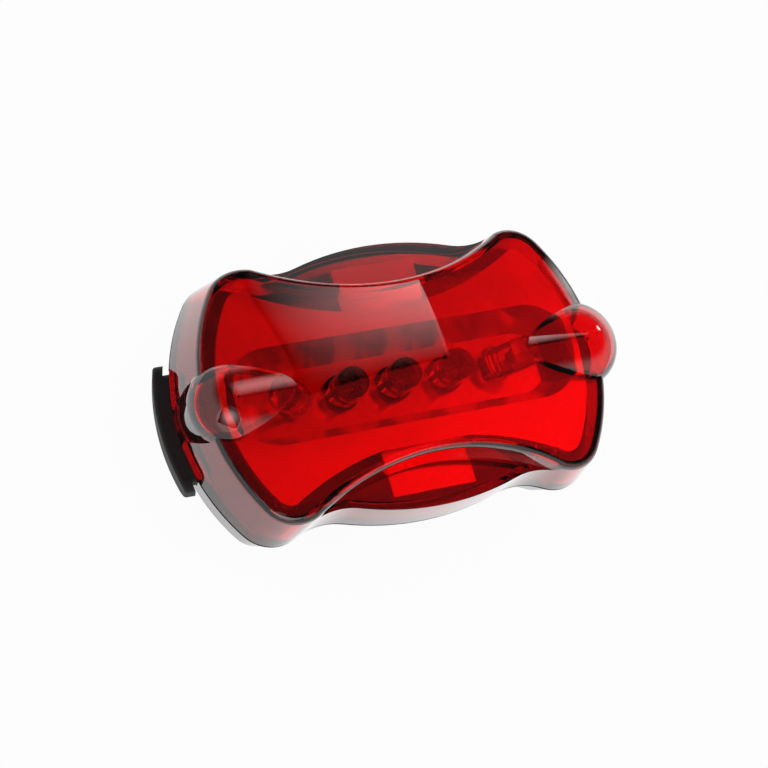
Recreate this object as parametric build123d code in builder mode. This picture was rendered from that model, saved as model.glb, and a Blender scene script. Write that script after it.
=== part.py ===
from build123d import *
import os
from math import atan2, cos, pi, radians, sin, sqrt, tan

# Bicycle rear light: a red clear lens with an hourglass crown on a black back shell.
# +X runs along the light, away from the button. +Z points out of the lens.
# The flat leaf of the belt clip lies on the plane Z = 0.

os.makedirs("parts", exist_ok=True)

# Outline of the light at the line where lens and shell meet
end_room = 6.1
side_room = 4.8
end_radius = 31.0
side_radius = 47.0
corner_radius = 6.2
dip_radius = 11.2
dip_place = 16.4

# Heights of the main pieces
clip_leaf = 1.8
clip_gap = 2.6
clip_base = 1.6
seal_height = 0.5
lens_height = 13.5

# Lens
lens_wall = 1.6
end_lean = 12.5
side_lean = 2.5
dome_radius = 115.0
ledge_height = 7.7
waist_depth = 7.7
waist_radius = 43.0
waist_lean = 9.0
waist_corner = 1.5
crown_edge = 1.1

# Round noses at both ends of the lens, the one above the button set back
nose_radius = 7.0
nose_proud = 2.1
nose_setback = 1.9
nose_height = 11.8
nose_crown = 8.2
nose_shoulder = 3.5
nose_start = 10.0

# Back shell
shell_wall = 1.5
shell_floor = 1.6
shell_lean = 15.0
shell_inset = 0.1
shell_edge = 2.0
prow_foot_radius = 4.0
prow_foot_rise = 2.0
tongue_height = 1.7
foot_wall = 0.85
seal_outside = 0.15
seal_inside = 0.8
fit_gap = 0.1
slot_width = 7.0
slot_height = 1.2
slot_depth = 0.9

# Cells and their contacts
cell_radius = 5.25
cell_length = 43.7
cell_edge = 0.5
nub_radius = 1.9
nub_length = 0.8
cell_clear = 0.4
floor_clear = 0.35
cell_drop = 1.8
cell_gap = 0.15
leaf_rise = 3.0
leaf_width = 4.0
leaf_bow = 3.45
contact_sheet = 0.3
contact_width = 8.0
contact_height = 9.2
strap_height = 2.4
tongue_width = 2.6
tongue_place = 4.0
tongue_length = 2.4
rib = 1.2
rib_place = 13.35
rib_drop = 5.2
end_rib_drop = 0.9
middle_gap = 6.6

# Circuit board and what it carries
board_width = 11.4
board_sheet = 1.2
board_corner = 1.5
board_drop = 1.9
board_tail = 4.55
led_pitch = 8.9
led_seat = 1.1
led_radius = 2.5
led_flange_radius = 2.9
led_flange = 1.0
led_height = 8.6
led_tilt = 35.0
end_led_step = 8.1
end_led_rise = 1.5
leg_width = 0.5
leg_pitch = 2.54
leg_drop = 1.3
leg_bend = 0.9
leg_tail = 1.2
leg_hole_radius = 0.45
post_height = 4.4
cup_radius = 0.9
cup_foot_radius = 0.6
cup_height = 0.9
cup_floor = 0.3
cup_wall = 0.2
wedge_length = 1.5
chip_length = 4.9
chip_width = 3.9
chip_height = 1.5
between_legs = 3.8
resistor_length = 2.0
resistor_width = 1.25
resistor_height = 0.5
resistor_pitch = 2.4
resistor_side = 2.9
screw_radius = 1.0
screw_head_radius = 1.8
screw_head = 1.3
screw_length = 3.4
screw_hole_radius = 1.15
screw_gap = 0.05
driver_width = 0.5
driver_length = 2.0
driver_depth = 0.6
boss_radius = 2.0

# Tact switch under the button's end of the board
switch_width = 6.0
switch_length = 3.5
switch_height = 3.0
switch_sheet = 0.25
switch_setback = 0.25
switch_room = 1.4
plunger_width = 2.6
plunger_height = 1.3
plunger_reach = 1.2
plunger_inside = 0.6
plunger_room = 0.35
plunger_gap = 0.05

# Rubber button
button_width = 20.0
button_height = 6.0
button_drop = 0.3
button_cap = 1.6
button_room = 1.0
button_corner = 1.8
button_edge = 0.5
button_inside = 4.9
neck_width = 17.0
neck_height = 5.2
neck_inside = 6.5
flange_width = 19.4
flange_height = 5.7
flange_sheet = 1.0
post_radius = 1.3
post_gap = 0.48
rubber_gap = 0.15

# Reflector tray
tray_height = 7.3
tray_sheet = 1.0
tray_inset = 3.4
tray_waist_gap = 3.1
trough_radius = 7.6
trough_floor_radius = 5.0
trough_room = 5.9
trough_floor = 0.8
mouth_width = 10.2
mouth_length = 3.4
mouth_setback = 2.2
leg_slot_length = 4.0
leg_slot_width = 1.3
web_room = 2.5
web_sheet = 1.2
tab_width = 14.0
tab_out = 4.6
tab_sheet = 1.0

# Belt clip
clip_width = 16.0
clip_bend = 24.0
clip_tip = 22.0
clip_base_end = -3.0
clip_hook = 1.3
clip_hook_length = 2.4
clip_hook_ramp = 1.4
clip_hook_root = 0.6
clip_corner = 5.0
clip_screw_place = 8.9
clip_screw_radius = 1.2
clip_screw_head_radius = 2.2
clip_screw_length = 5.0
clip_boss_radius = 2.7
clip_boss_height = 2.6
clip_access_radius = 2.8

overrun = 1.0

# Levels that follow from the heights
back_level = clip_leaf + clip_gap + clip_base
shell_depth = shell_floor + floor_clear + cell_radius + cell_drop
parting = back_level + shell_depth
rim_level = parting - seal_height
floor_level = back_level + shell_floor
crown_level = parting + lens_height
ledge_level = parting + ledge_height
tray_level = parting + tray_height
trough_level = parting + led_seat
board_level = parting - board_drop
board_under = board_level - board_sheet
cell_level = parting - cell_drop
button_top = parting - button_drop
base_level = clip_leaf + clip_gap

# Places that follow from the cells and the board between them
cell_side = board_width / 2 + cell_clear + cell_radius
side_reach = cell_side + cell_radius + side_room
waist_width = side_reach - waist_depth
web_outside = waist_width - web_room
web_inside = web_outside - web_sheet
tab_reach = waist_width + tab_out
contact_face = (cell_length + nub_length + leaf_rise) / 2
end_rib = contact_face + contact_sheet + rib / 2
board_right = contact_face + contact_sheet + board_tail
switch_front = contact_face + contact_sheet + switch_room + switch_length
board_left = switch_front + switch_setback
end_reach = board_left + end_room
end_centre = end_reach - end_radius
nose_reach = end_reach + nose_proud
nose_centre = nose_reach - nose_radius
trough_reach = end_reach - trough_room
mouth_place = trough_reach - mouth_setback
plunger_level = board_under - switch_height / 2
tilt = radians(led_tilt)
screw_place = led_pitch / 2
end_led_place = led_pitch + end_led_step
leg_place = end_led_place - leg_drop * sin(tilt)
chip_place = between_legs - end_led_place
resistor_place = end_led_place - between_legs


def lean(angle, height):
    return height * tan(radians(angle))


def outline(level, inset=0.0, end_in=0.0, side_in=0.0):
    """Plan of the light: end, corner, dip and side arcs, each tangent to the next, mirrored four ways."""
    end_c = Vector(end_centre - end_in, 0)
    side_c = Vector(0, side_reach - side_in - side_radius)
    dip_c = Vector(dip_place, side_c.Y + sqrt((side_radius + dip_radius) ** 2 - dip_place ** 2))
    to_end = end_radius - corner_radius
    to_dip = dip_radius + corner_radius
    span = dip_c - end_c
    along = (to_end ** 2 - to_dip ** 2 + span.length ** 2) / (2 * span.length)
    across = sqrt(to_end ** 2 - along ** 2)
    unit = span.normalized()
    corner_c = end_c + unit * along + Vector(unit.Y, -unit.X) * across
    end_r, corner_r = end_radius - inset, corner_radius - inset
    dip_r, side_r = dip_radius + inset, side_radius - inset
    tip = Vector(end_c.X + end_r, 0)
    end_join = end_c + (corner_c - end_c).normalized() * end_r
    dip_join = corner_c + (dip_c - corner_c).normalized() * corner_r
    side_join = side_c + (dip_c - side_c).normalized() * side_r
    side_top = Vector(0, side_c.Y + side_r)

    def halfway(centre, radius, first, second):
        return centre + ((first - centre).normalized() + (second - centre).normalized()).normalized() * radius

    with BuildSketch(Plane.XY.offset(level)) as plan:
        with BuildLine():
            ThreePointArc(tip, halfway(end_c, end_r, tip, end_join), end_join)
            ThreePointArc(end_join, halfway(corner_c, corner_r, end_join, dip_join), dip_join)
            ThreePointArc(dip_join, halfway(dip_c, dip_r, dip_join, side_join), side_join)
            ThreePointArc(side_join, halfway(side_c, side_r, side_join, side_top), side_top)
            mirror(about=Plane.YZ)
            mirror(about=Plane.XZ)
        make_face()
    return plan.sketch


def nose(inset, foot):
    """Round nose at the +X end: an arched bar that ends in a turned dome of the same section."""
    radius, crown, shoulder = nose_radius - inset, nose_crown - inset, nose_shoulder - inset
    crown_z = parting + nose_height - nose_crown
    shoulder_y = nose_radius - nose_shoulder
    reach = nose_crown - nose_shoulder
    shoulder_z = crown_z + sqrt(reach ** 2 - shoulder_y ** 2)
    join_angle = atan2(shoulder_z - crown_z, shoulder_y)
    join = Vector(crown * cos(join_angle), crown_z + crown * sin(join_angle))
    middle = join_angle / 2
    shoulder_mid = Vector(shoulder_y + shoulder * cos(middle), shoulder_z + shoulder * sin(middle))
    crown_mid_angle = (join_angle + pi / 2) / 2
    crown_mid = Vector(crown * cos(crown_mid_angle), crown_z + crown * sin(crown_mid_angle))
    top = Vector(0, crown_z + crown)
    low = parting - foot

    def half_section(plane, whole):
        with BuildSketch(plane) as section:
            with BuildLine():
                Polyline((0, low), (radius, low), (radius, shoulder_z))
                ThreePointArc((radius, shoulder_z), shoulder_mid, join)
                ThreePointArc(join, crown_mid, top)
                Line(top, (0, low))
            make_face()
            if whole:
                mirror(about=Plane.YZ)
        return section.sketch

    bar_section = half_section(Plane.YZ.offset(nose_start), True)
    dome_section = half_section(Plane((nose_centre, 0, 0), x_dir=(1, 0, 0), z_dir=(0, -1, 0)), False)
    with BuildPart() as form:
        extrude(bar_section, amount=nose_centre - nose_start)
        revolve(dome_section, axis=Axis((nose_centre, 0, 0), (0, 0, 1)))
    return form.part


def round_lens(form):
    """Rounded crown, and rounded corners where the scooped waists come out of the side walls."""
    corners = form.edges().filter_by(lambda e: e.center().Z > ledge_level + fit_gap)
    fillet(corners.filter_by(lambda e: e.bounding_box().size.X < crown_edge), waist_corner)
    fillet(form.faces().filter_by(GeomType.SPHERE)[0].outer_wire().edges(), crown_edge)


def lens_form(inset, foot):
    """Outside of the lens, or its hollow when inset by the wall."""
    rise = lens_height + overrun
    low = outline(parting - foot, inset, -lean(end_lean, foot), -lean(side_lean, foot))
    high = outline(parting + rise, inset, lean(end_lean, rise), lean(side_lean, rise))
    blade = waist_radius - lean(waist_lean, nose_height - ledge_height)
    blade += inset / cos(radians(waist_lean)) - lean(waist_lean, inset)
    end_nose = nose(inset, foot)
    with BuildPart() as form:
        loft([low, high], ruled=True)
        with Locations((0, 0, crown_level - dome_radius)):
            Sphere(dome_radius - inset, rotation=(90, 0, 0), mode=Mode.INTERSECT)
        with BuildSketch(Plane.XY.offset(ledge_level - inset)):
            with GridLocations(0, 2 * (waist_width + waist_radius), 1, 2):
                Circle(blade)
        extrude(amount=lens_height, taper=-waist_lean, mode=Mode.SUBTRACT)
        if not inset:
            round_lens(form)
        add(end_nose)
        add(end_nose.mirror(Plane.YZ).moved(Location((nose_setback, 0, 0))))
    return form.part


def rim_form(low, high, inset):
    """Straight block of the rim's plan, with the nose at the +X end."""
    with BuildPart() as form:
        extrude(outline(low, inset), amount=high - low)
        with BuildSketch(Plane.XY.offset(low)):
            with Locations((nose_centre / 2, 0)):
                Rectangle(nose_centre, 2 * (nose_radius - inset))
            with Locations((nose_centre, 0)):
                Circle(nose_radius - inset)
        extrude(amount=high - low)
    return form.part


# Lens
lens_outside = lens_form(0.0, 0.0)
lens_hollow = lens_form(lens_wall, overrun)
foot_step = rim_form(parting - overrun, rim_level + tongue_height + fit_gap, foot_wall)
with BuildPart() as lens:
    add(lens_outside)
    add(lens_hollow, mode=Mode.SUBTRACT)
    add(foot_step, mode=Mode.SUBTRACT)
lens.part.label = "lens"
export_step(lens.part, "parts/lens.step")


def shell_form(low, inset, over):
    """Leaning bowl of the outline from a low level to the rim."""
    bottom = outline(low, inset + lean(shell_lean, rim_level - low))
    top = outline(rim_level + over, inset - lean(shell_lean, over))
    with BuildPart() as form:
        loft([bottom, top], ruled=True)
    return form.part


def rib_row(places, top, saddles, gap):
    """Cross ribs of the shell, trimmed to its hollow, with saddles for the cells or a gap in the middle."""
    with BuildPart() as row:
        for place in places:
            with BuildSketch(Plane.YZ.offset(place - rib / 2)):
                with Locations((0, floor_level)):
                    Rectangle(2 * side_reach, top - floor_level, align=(Align.CENTER, Align.MIN))
                if saddles:
                    with Locations((-cell_side, cell_level), (cell_side, cell_level)):
                        Circle(cell_radius + cell_gap, mode=Mode.SUBTRACT)
                if gap:
                    with Locations((0, floor_level)):
                        Rectangle(2 * gap, 2 * shell_depth, mode=Mode.SUBTRACT)
            extrude(amount=rib)
        add(shell_hollow, mode=Mode.INTERSECT)
    return row.part


def neck_window(width, height, corner):
    """Opening for the button's neck in the -X end, open at the top."""
    with BuildPart() as window:
        with BuildSketch(Plane.YZ.offset(-end_reach - overrun)):
            with Locations((0, button_top - height)):
                RectangleRounded(width, 2 * height, corner, align=(Align.CENTER, Align.MIN))
        extrude(amount=overrun + neck_inside)
    return window.part


# Back shell
prow_foot = back_level + prow_foot_rise
prow_foot_place = end_reach - shell_inset - fit_gap - prow_foot_radius - lean(shell_lean, rim_level - prow_foot)
shell_outside = shell_form(back_level, shell_inset, 0.0)
shell_hollow = shell_form(floor_level, shell_inset + shell_wall, overrun)
tongue_outside = rim_form(rim_level, rim_level + tongue_height, foot_wall + fit_gap)
tongue_inside = rim_form(rim_level, rim_level + tongue_height, lens_wall)
cradles = rib_row((-rib_place, rib_place), parting - rib_drop, True, 0.0)
end_ribs = rib_row((-end_rib, end_rib), parting - end_rib_drop, False, middle_gap)
button_window = neck_window(neck_width + 2 * rubber_gap, neck_height + rubber_gap, button_corner)
with BuildPart() as back_shell:
    add(shell_outside)
    fillet(back_shell.edges().group_by(Axis.Z)[0], shell_edge)
    with BuildSketch(Plane.XY.offset(prow_foot)):
        with Locations((prow_foot_place, 0)):
            Circle(prow_foot_radius)
    with BuildSketch(Plane.XY.offset(rim_level)):
        with Locations((nose_centre, 0)):
            Circle(nose_radius - shell_inset)
    loft(ruled=True)
    add(shell_hollow, mode=Mode.SUBTRACT)
    add(tongue_outside)
    add(tongue_inside, mode=Mode.SUBTRACT)
    add(cradles)
    add(end_ribs)
    with Locations((clip_screw_place, 0, floor_level)):
        Cylinder(clip_boss_radius, clip_boss_height, align=(Align.CENTER, Align.CENTER, Align.MIN))
    with Locations((clip_screw_place, 0, back_level)):
        Cylinder(clip_screw_radius + screw_gap, clip_screw_length - clip_base + screw_gap,
                 align=(Align.CENTER, Align.CENTER, Align.MIN), mode=Mode.SUBTRACT)
    add(button_window, mode=Mode.SUBTRACT)
    with Locations((nose_reach, 0, rim_level)):
        Box(2 * slot_depth, slot_width, 2 * slot_height, mode=Mode.SUBTRACT)
back_shell.part.label = "back_shell"
export_step(back_shell.part, "parts/back_shell.step")


# Thin gasket between shell and lens, open above the button's neck
seal_band = rim_form(rim_level, parting, seal_outside)
seal_middle = rim_form(rim_level, parting, seal_inside)
with BuildPart() as rim_seal:
    add(seal_band)
    add(seal_middle, mode=Mode.SUBTRACT)
    add(button_window, mode=Mode.SUBTRACT)
rim_seal.part.label = "rim_seal"
export_step(rim_seal.part, "parts/rim_seal.step")


def end_ring(low, high, outer_in, inner_in):
    """Ring round the -X end that leans like the shell, between two insets from the shell's outer face."""
    foot = end_radius - shell_inset - lean(shell_lean, rim_level - low)
    head = end_radius - shell_inset - lean(shell_lean, rim_level - high)
    with BuildPart() as ring:
        with BuildSketch(Plane.XZ):
            with BuildLine():
                Polyline((-foot + inner_in, low), (-foot + outer_in, low), (-head + outer_in, high),
                         (-head + inner_in, high), close=True)
            make_face()
        revolve(axis=Axis.Z)
    return ring.part.moved(Location((-end_centre, 0, 0)))


def button_block(width, height, corner):
    """Rounded block along X that trims a ring to the button's width and height."""
    outside = button_room + button_cap + overrun
    with BuildPart() as block:
        with BuildSketch(Plane.YZ.offset(-end_reach - outside)):
            with Locations((0, button_top)):
                RectangleRounded(width, height, corner, align=(Align.CENTER, Align.MAX))
        extrude(amount=outside + button_inside)
    return block.part


# Rubber button: cap outside the shell's end wall, neck through it, flange and post inside
cap_low = button_top - button_height - overrun
cap_ring = end_ring(cap_low, button_top + overrun, -button_room - button_cap, -button_room)
neck_ring = end_ring(cap_low, button_top + overrun, -button_room, shell_wall + rubber_gap)
flange_ring = end_ring(cap_low, button_top + overrun, shell_wall + rubber_gap,
                       shell_wall + rubber_gap + flange_sheet)
cap_block = button_block(button_width, button_height, button_corner)
neck_block = button_block(neck_width, neck_height, button_corner - rubber_gap)
flange_block = button_block(flange_width, flange_height, button_corner)
with BuildPart() as switch_button:
    add(cap_ring)
    add(cap_block, mode=Mode.INTERSECT)
    fillet(switch_button.faces().sort_by(Axis.X)[0].edges(), button_edge)
    add(neck_ring & neck_block)
    add(flange_ring & flange_block)
    with BuildSketch(Plane.YZ.offset(-switch_front - plunger_reach - post_gap)):
        with Locations((0, plunger_level)):
            Circle(post_radius)
    extrude(until=Until.NEXT, dir=(-1, 0, 0))
switch_button.part.label = "switch_button"
export_step(switch_button.part, "parts/switch_button.step")


def cell_form():
    """Cell along +X with its nub at the contact plate."""
    with BuildPart() as cell:
        with BuildSketch(Plane.YZ.offset(contact_face - nub_length - cell_length)):
            Circle(cell_radius)
        extrude(amount=cell_length)
        fillet(cell.edges().filter_by(GeomType.CIRCLE), cell_edge)
        with BuildSketch(Plane.YZ.offset(contact_face - nub_length)):
            Circle(nub_radius)
        extrude(amount=nub_length)
    return cell.part


# Two cells, head to tail, one each side of the board
cell = cell_form()
with BuildPart() as battery_left:
    with Locations((0, cell_side, cell_level)):
        add(cell)
battery_left.part.label = "battery_left"
export_step(battery_left.part, "parts/battery_left.step")

with BuildPart() as battery_right:
    with Locations(Location((0, -cell_side, cell_level), (0, 0, 180))):
        add(cell)
battery_right.part.label = "battery_right"
export_step(battery_right.part, "parts/battery_right.step")


def contact_plate(side, inner_end):
    """Upright sheet behind a cell at the +X end, with a low strap that runs inwards to inner_end."""
    outer_end = cell_side + contact_width / 2
    with BuildPart() as plate:
        with BuildSketch(Plane.YZ.offset(contact_face)):
            with Locations((side * cell_side, floor_level)):
                Rectangle(contact_width, contact_height, align=(Align.CENTER, Align.MIN))
            with Locations((side * (outer_end + inner_end) / 2, floor_level)):
                Rectangle(outer_end - inner_end, strap_height, align=(Align.CENTER, Align.MIN))
        extrude(amount=contact_sheet)
    return plate.part


def board_tongue(side):
    """Strip that rises from the strap at the +X end and turns under the board."""
    middle = side * tongue_place
    with BuildPart() as tongue:
        with BuildSketch(Plane.YZ.offset(contact_face)):
            with Locations((middle, floor_level)):
                Rectangle(tongue_width, board_under - floor_level, align=(Align.CENTER, Align.MIN))
        extrude(amount=contact_sheet)
        with Locations((contact_face + contact_sheet, middle, board_under)):
            Box(tongue_length, tongue_width, contact_sheet, align=(Align.MAX, Align.CENTER, Align.MAX))
    return tongue.part


def bow_leaf(side):
    """Bowed leaf spring in front of the plate at the +X end."""
    with BuildPart() as leaf:
        with BuildSketch(Plane.XZ.offset(-side * cell_side)):
            with Locations((contact_face - leaf_rise + leaf_bow, cell_level)):
                Circle(leaf_bow)
                Circle(leaf_bow - contact_sheet, mode=Mode.SUBTRACT)
            with Locations((contact_face + contact_sheet, cell_level)):
                Rectangle(leaf_rise + contact_sheet, 2 * leaf_bow, align=(Align.MAX, Align.CENTER),
                          mode=Mode.INTERSECT)
        extrude(amount=leaf_width / 2, both=True)
    return leaf.part


# Stamped contacts: two with a tongue to the board at +X, one bridge at -X
with BuildPart() as plus_contact:
    add(contact_plate(1, tongue_place - tongue_width / 2))
    add(board_tongue(1))
plus_contact.part.label = "plus_contact"
export_step(plus_contact.part, "parts/plus_contact.step")

with BuildPart() as minus_contact:
    add(contact_plate(-1, tongue_place - tongue_width / 2))
    add(board_tongue(-1))
    add(bow_leaf(-1))
minus_contact.part.label = "minus_contact"
export_step(minus_contact.part, "parts/minus_contact.step")

with BuildPart() as bridge_contact:
    with Locations(Location((0, 0, 0), (0, 0, 180))):
        add(contact_plate(1, 0.0))
        add(contact_plate(-1, 0.0))
        add(bow_leaf(-1))
bridge_contact.part.label = "bridge_contact"
export_step(bridge_contact.part, "parts/bridge_contact.step")


def trough_form(low, high, level, radius, reach):
    """Leaning trough with round ends, given by its radius and reach at one level."""
    slope = (trough_radius - trough_floor_radius) / (tray_height - led_seat)
    with BuildPart() as form:
        for z in (low, high):
            with BuildSketch(Plane.XY.offset(z)):
                grow = slope * (z - level)
                SlotOverall(2 * (reach + grow), 2 * (radius + grow))
        loft(ruled=True)
    return form.part


# Reflector tray
tray_under = tray_level - tray_sheet
trough_under = trough_level - trough_floor
wing_plan = outline(tray_under, tray_inset, lean(end_lean, tray_height), lean(side_lean, tray_height))
trough_outside = trough_form(trough_under, tray_level, tray_level, trough_radius + tray_sheet,
                             trough_reach + tray_sheet)
trough_inside = trough_form(trough_level, tray_level + overrun, tray_level, trough_radius, trough_reach)
with BuildPart() as reflector_tray:
    with BuildSketch(Plane.XY.offset(tray_under)):
        add(wing_plan)
        with GridLocations(0, 2 * (waist_width + waist_radius), 1, 2):
            Circle(waist_radius + tray_waist_gap, mode=Mode.SUBTRACT)
    extrude(amount=tray_sheet)
    add(trough_outside)
    with GridLocations(0, web_inside + web_outside, 1, 2):
        with Locations((0, 0, ledge_level - lens_wall - tab_sheet)):
            Box(tab_width, web_outside - web_inside, tray_level - ledge_level + lens_wall + tab_sheet,
                align=(Align.CENTER, Align.CENTER, Align.MIN))
    with GridLocations(0, web_inside + tab_reach, 1, 2):
        with Locations((0, 0, ledge_level - lens_wall)):
            Box(tab_width, tab_reach - web_inside, tab_sheet, align=(Align.CENTER, Align.CENTER, Align.MAX))
    with GridLocations(2 * screw_place, 0, 2, 1):
        with Locations((0, 0, board_level)):
            Cylinder(boss_radius, trough_level - board_level, align=(Align.CENTER, Align.CENTER, Align.MIN))
    add(trough_inside, mode=Mode.SUBTRACT)
    with BuildSketch(Plane.XY.offset(trough_under)):
        with GridLocations(led_pitch, 0, 3, 1):
            SlotOverall(leg_slot_length, leg_slot_width)
        with GridLocations(2 * leg_place, 0, 2, 1):
            SlotOverall(leg_slot_length, leg_slot_width, rotation=90)
        with GridLocations(2 * mouth_place, 0, 2, 1):
            SlotOverall(mouth_width, mouth_length, rotation=90)
    extrude(amount=tray_height, mode=Mode.SUBTRACT)
    for side in (-1, 1):
        with Locations(Location((side * end_led_place, 0, trough_level + end_led_rise), (0, side * led_tilt, 0))):
            Cylinder(led_flange_radius + fit_gap, led_height, align=(Align.CENTER, Align.CENTER, Align.MIN),
                     mode=Mode.SUBTRACT)
    with GridLocations(2 * screw_place, 0, 2, 1):
        with Locations((0, 0, board_level)):
            Cylinder(screw_radius + screw_gap, screw_length - board_sheet + screw_gap,
                     align=(Align.CENTER, Align.CENTER, Align.MIN), mode=Mode.SUBTRACT)
reflector_tray.part.label = "reflector_tray"
export_step(reflector_tray.part, "parts/reflector_tray.step")


def lamp_form():
    """Clear round LED that stands on its flange."""
    with BuildPart() as lamp:
        Cylinder(led_flange_radius, led_flange, align=(Align.CENTER, Align.CENTER, Align.MIN))
        Cylinder(led_radius, led_height - led_radius, align=(Align.CENTER, Align.CENTER, Align.MIN))
        with Locations((0, 0, led_height - led_radius)):
            Sphere(led_radius)
        with Locations((-led_flange_radius, 0, 0)):
            Box(2 * (led_flange_radius - led_radius), 2 * led_flange_radius, 2 * led_flange, mode=Mode.SUBTRACT)
    return lamp.part


def lead_form(drop):
    """Two leads of an LED: a cup on a wedge on one side, a plain post on the other."""
    inner, outer = (leg_pitch - leg_width) / 2, (leg_pitch + leg_width) / 2
    seat = post_height - cup_height
    with BuildPart() as leads:
        with BuildSketch(Plane.XZ):
            with BuildLine():
                Polyline((-outer, -drop), (-inner, -drop), (-inner, seat - wedge_length),
                         (cup_foot_radius, seat), (-outer, seat), close=True)
            make_face()
            with Locations((leg_pitch / 2, -drop)):
                Rectangle(leg_width, drop + post_height, align=(Align.CENTER, Align.MIN))
        extrude(amount=leg_width / 2, both=True)
        with Locations((0, 0, seat - cup_floor)):
            Cylinder(cup_foot_radius, cup_floor, align=(Align.CENTER, Align.CENTER, Align.MIN))
        with Locations((0, 0, seat)):
            Cone(cup_foot_radius, cup_radius, cup_height, align=(Align.CENTER, Align.CENTER, Align.MIN))
            Cone(cup_foot_radius - cup_wall, cup_radius - cup_wall, cup_height,
                 align=(Align.CENTER, Align.CENTER, Align.MIN), mode=Mode.SUBTRACT)
    return leads.part


def bent_legs():
    """Legs of the tipped LED at +X: out of its foot along its axis, then straight down through the board."""
    foot = Vector(end_led_place, trough_level + end_led_rise)
    axis = Vector(sin(tilt), cos(tilt))
    with BuildPart() as legs:
        for side in (-1, 1):
            with BuildSketch(Plane.XZ.offset(side * leg_pitch / 2)):
                with BuildLine():
                    FilletPolyline(foot + axis * led_flange, foot - axis * leg_drop,
                                   (leg_place, board_under - leg_tail), radius=leg_bend)
                trace(line_width=leg_width)
            extrude(amount=leg_width / 2, both=True)
    return legs.part


# LEDs and their leads: three upright, and one tipped outwards at each end
lamp = lamp_form()
straight_leads = lead_form(trough_level - board_under + leg_tail)
short_leads = lead_form(0.0)
end_legs = bent_legs()
end_plane = Plane((end_led_place, 0, trough_level + end_led_rise), x_dir=(0, 1, 0), z_dir=(sin(tilt), 0, cos(tilt)))
tipped_lamp = lamp.moved(end_plane.location)
tipped_leads = short_leads.moved(end_plane.location)
with BuildPart() as led_5_leads:
    add(tipped_leads)
    add(end_legs)
led_5_leads.part.label = "led_5_leads"
export_step(led_5_leads.part, "parts/led_5_leads.step")

with BuildPart() as led_5:
    add(tipped_lamp)
    add(led_5_leads.part, mode=Mode.SUBTRACT)
led_5.part.label = "led_5"
export_step(led_5.part, "parts/led_5.step")

with BuildPart() as led_1_leads:
    add(led_5_leads.part.mirror(Plane.YZ))
led_1_leads.part.label = "led_1_leads"
export_step(led_1_leads.part, "parts/led_1_leads.step")

with BuildPart() as led_1:
    add(led_5.part.mirror(Plane.YZ))
led_1.part.label = "led_1"
export_step(led_1.part, "parts/led_1.step")

with BuildPart() as led_3_leads:
    with Locations((0, 0, trough_level)):
        add(straight_leads)
led_3_leads.part.label = "led_3_leads"
export_step(led_3_leads.part, "parts/led_3_leads.step")

with BuildPart() as led_3:
    with Locations((0, 0, trough_level)):
        add(lamp)
    add(led_3_leads.part, mode=Mode.SUBTRACT)
led_3.part.label = "led_3"
export_step(led_3.part, "parts/led_3.step")

with BuildPart() as led_2_leads:
    add(led_3_leads.part.moved(Location((-led_pitch, 0, 0))))
led_2_leads.part.label = "led_2_leads"
export_step(led_2_leads.part, "parts/led_2_leads.step")

with BuildPart() as led_2:
    add(led_3.part.moved(Location((-led_pitch, 0, 0))))
led_2.part.label = "led_2"
export_step(led_2.part, "parts/led_2.step")

with BuildPart() as led_4_leads:
    add(led_3_leads.part.moved(Location((led_pitch, 0, 0))))
led_4_leads.part.label = "led_4_leads"
export_step(led_4_leads.part, "parts/led_4_leads.step")

with BuildPart() as led_4:
    add(led_3.part.moved(Location((led_pitch, 0, 0))))
led_4.part.label = "led_4"
export_step(led_4.part, "parts/led_4.step")


# Circuit board, with a hole for every leg and both screws
with BuildPart() as circuit_board:
    with BuildSketch(Plane.XY.offset(board_under)):
        with Locations(((board_right - board_left) / 2, 0)):
            RectangleRounded(board_left + board_right, board_width, board_corner)
        with GridLocations(led_pitch, 0, 3, 1):
            with GridLocations(leg_pitch, 0, 2, 1):
                Circle(leg_hole_radius, mode=Mode.SUBTRACT)
        with GridLocations(2 * leg_place, leg_pitch, 2, 2):
            Circle(leg_hole_radius, mode=Mode.SUBTRACT)
        with GridLocations(2 * screw_place, 0, 2, 1):
            Circle(screw_hole_radius, mode=Mode.SUBTRACT)
    extrude(amount=board_sheet)
circuit_board.part.label = "circuit_board"
export_step(circuit_board.part, "parts/circuit_board.step")


# Control chip and resistors, soldered under the board
with BuildPart() as control_chip:
    with Locations((chip_place, 0, board_under)):
        Box(chip_length, chip_width, chip_height, align=(Align.CENTER, Align.CENTER, Align.MAX))
control_chip.part.label = "control_chip"
export_step(control_chip.part, "parts/control_chip.step")

with BuildPart() as resistors:
    with Locations((resistor_place, 0, board_under)):
        with GridLocations(resistor_pitch, 2 * resistor_side, 2, 2):
            Box(resistor_width, resistor_length, resistor_height, align=(Align.CENTER, Align.CENTER, Align.MAX))
resistors.part.label = "resistors"
export_step(resistors.part, "parts/resistors.step")


# Screws that hold the board to the bosses under the tray
with BuildPart() as board_screws:
    with GridLocations(2 * screw_place, 0, 2, 1):
        with Locations((0, 0, board_under)):
            Cylinder(screw_radius, screw_length, align=(Align.CENTER, Align.CENTER, Align.MIN))
            Cylinder(screw_head_radius, screw_head, align=(Align.CENTER, Align.CENTER, Align.MAX))
        with Locations((0, 0, board_under - screw_head)):
            Box(driver_width, driver_length, driver_depth, align=(Align.CENTER, Align.CENTER, Align.MIN),
                mode=Mode.SUBTRACT)
            Box(driver_length, driver_width, driver_depth, align=(Align.CENTER, Align.CENTER, Align.MIN),
                mode=Mode.SUBTRACT)
board_screws.part.label = "board_screws"
export_step(board_screws.part, "parts/board_screws.step")


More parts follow.
